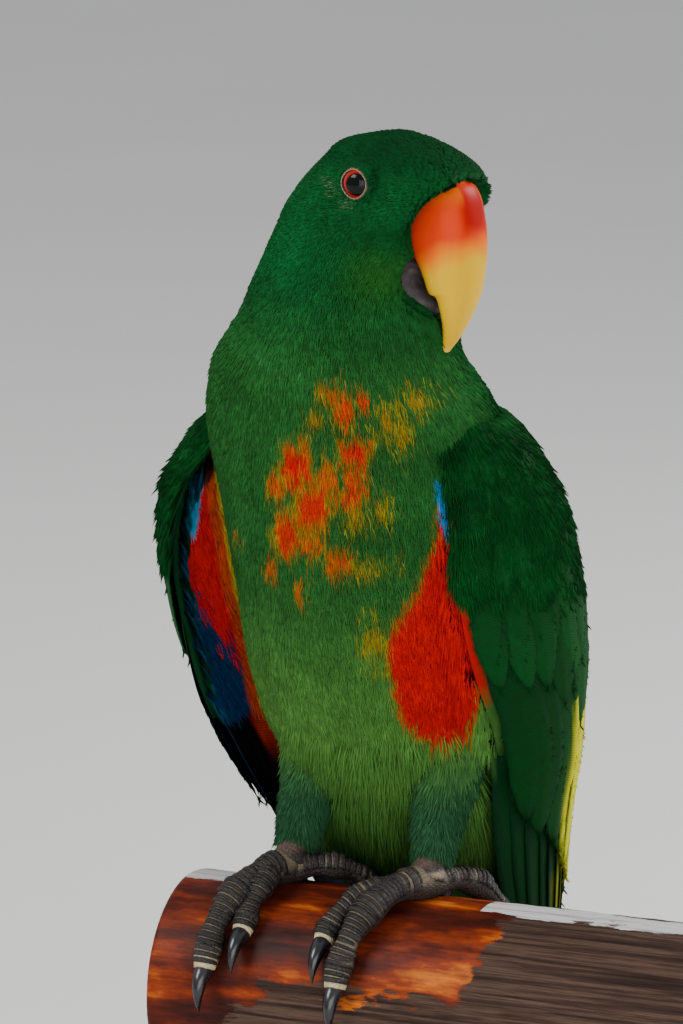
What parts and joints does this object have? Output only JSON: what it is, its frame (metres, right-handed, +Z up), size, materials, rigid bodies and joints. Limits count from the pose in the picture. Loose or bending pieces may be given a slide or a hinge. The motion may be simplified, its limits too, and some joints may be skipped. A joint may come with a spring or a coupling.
{
  "type": "eclectus parrot on a display stand",
  "caption": "Life-size still model of an adult male eclectus parrot gripping a cut length of wooden rail, held by a flat display stand.",
  "frame": {"origin": "on the underside of the stand's base, straight below the rail's axis and midway between the feet", "axes": "+Z up, +X along the rail towards the bird's left, the bird's breast faces -Y"},
  "size_m": [0.2, 0.18, 0.3204],
  "materials": {
    "green_plumage": "soft body feathers, deep green with red and yellow flecks on the breast and red flanks",
    "wing_feathers": "sleek vanes, deep green above, black and blue below with red wing lining",
    "tail_feathers": "sleek vanes, green with blue edges and yellow tips, black below",
    "upper_bill_horn": "polished horn, red-orange at the base to yellow at the tip",
    "lower_bill_horn": "dark horn with fine scaling",
    "eye": "wet, clear cornea over a red iris and a black pupil",
    "foot_skin": "scaled dark skin with pale lines between the scutes",
    "claw_horn": "polished black horn",
    "perch_wood": "worn red-brown varnish over weathered wood",
    "base_wood": "satin dark wood",
    "rod_steel": "brushed"
  },
  "bodies": {
    "root": {"torso": "green_plumage", "neck": "green_plumage", "head": "green_plumage", "thigh_left": "green_plumage", "thigh_right": "green_plumage", "wing_left": "wing_feathers", "wing_right": "wing_feathers", "tail": "tail_feathers", "bill_upper": "upper_bill_horn", "bill_lower": "lower_bill_horn", "eye_left": "eye", "eye_right": "eye", "shank_left": "foot_skin", "shank_right": "foot_skin", "foot_left": "foot_skin", "foot_right": "foot_skin", "claw_left_outer_front": "claw_horn", "claw_left_inner_front": "claw_horn", "claw_left_outer_back": "claw_horn", "claw_left_inner_back": "claw_horn", "claw_right_outer_front": "claw_horn", "claw_right_inner_front": "claw_horn", "claw_right_outer_back": "claw_horn", "claw_right_inner_back": "claw_horn", "perch": "perch_wood", "stand_base": "base_wood", "stand_rod_1": "rod_steel", "stand_rod_2": "rod_steel"}
  },
  "joints": []
}
